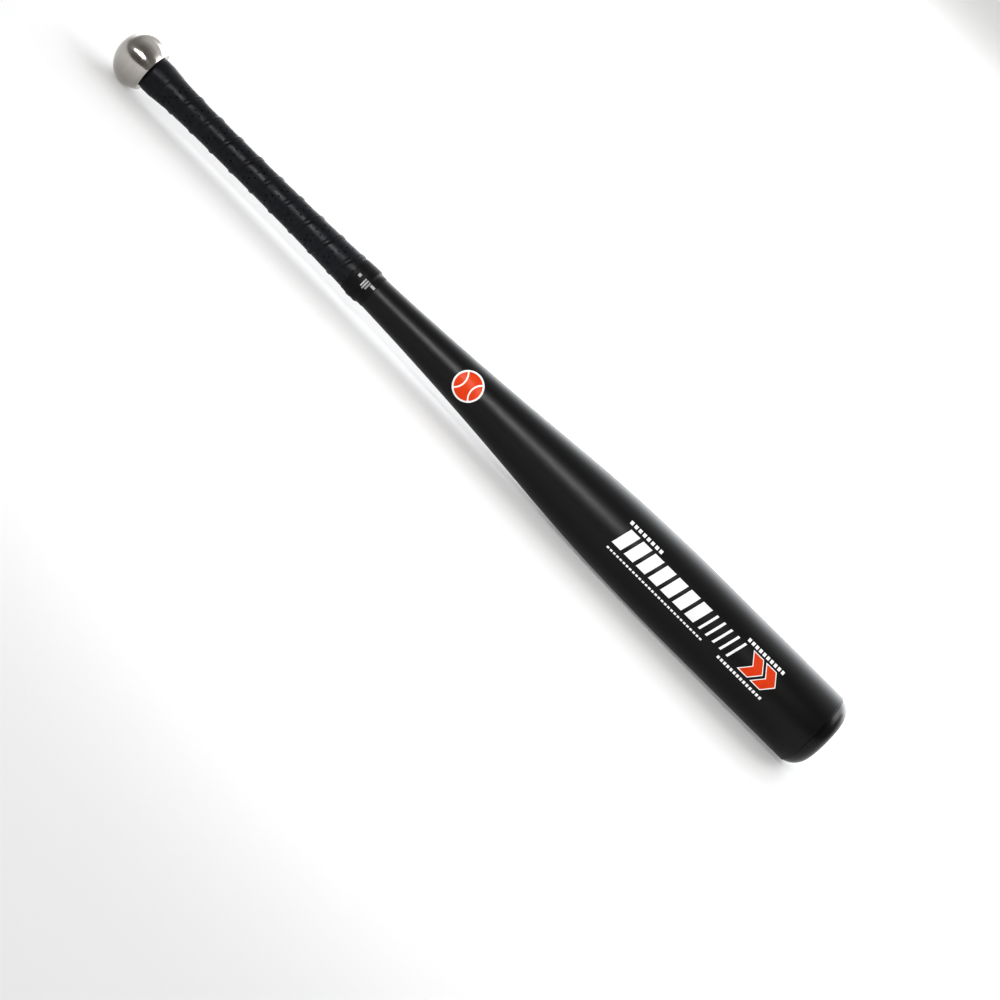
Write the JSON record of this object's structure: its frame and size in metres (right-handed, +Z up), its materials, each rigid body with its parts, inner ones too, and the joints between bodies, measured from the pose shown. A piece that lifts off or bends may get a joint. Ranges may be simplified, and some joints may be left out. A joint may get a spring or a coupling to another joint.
{
  "type": "weighted training bat",
  "caption": "Handle-weighted training bat: swaged aluminium tube with a ball knob, a spiral-wrapped perforated grip, a hidden steel handle weight and a plug end cap.",
  "frame": {"origin": "middle of the bat's length, on the surface that the barrel lies on, straight below the bat's axis", "axes": "+X along the bat's axis from the knob to the end cap, +Z up; the printed side faces -Y, leaning up by 18 degrees"},
  "size_m": [0.762, 0.0668, 0.0667],
  "materials": {
    "black_anodised_aluminium": "satin black finish over aluminium",
    "black_urethane": "moulded, slightly glossy",
    "clear_adhesive": "cured epoxy",
    "satin_stainless": "turned and satin polished",
    "black_rubber": "matt",
    "plain_steel": "machined",
    "black_grip_leather": "soft, perforated, semi-matt",
    "black_vinyl_tape": "vinyl, slight sheen",
    "white_print": "screen-printed ink",
    "orange_print": "screen-printed ink"
  },
  "bodies": {
    "root": {"bat_shell": "black_anodised_aluminium", "end_cap": "black_urethane", "cap_bond_ring": "clear_adhesive", "knob": "satin_stainless", "knob_seat_washer": "black_rubber", "spring_pin": "plain_steel", "weight_stud": "plain_steel", "lock_washer": "plain_steel", "handle_weight": "plain_steel", "weight_bumper": "black_rubber", "weight_ring_rear": "black_rubber", "weight_ring_front": "black_rubber", "flare_sleeve": "black_rubber", "grip_cushion": "black_rubber", "grip_cuff": "black_grip_leather", "grip_wrap": "black_grip_leather", "finishing_tape": "black_vinyl_tape", "tape_label": "white_print", "emblem_white": "white_print", "emblem_orange": "orange_print", "graphic_white": "white_print", "graphic_orange": "orange_print"}
  },
  "joints": []
}
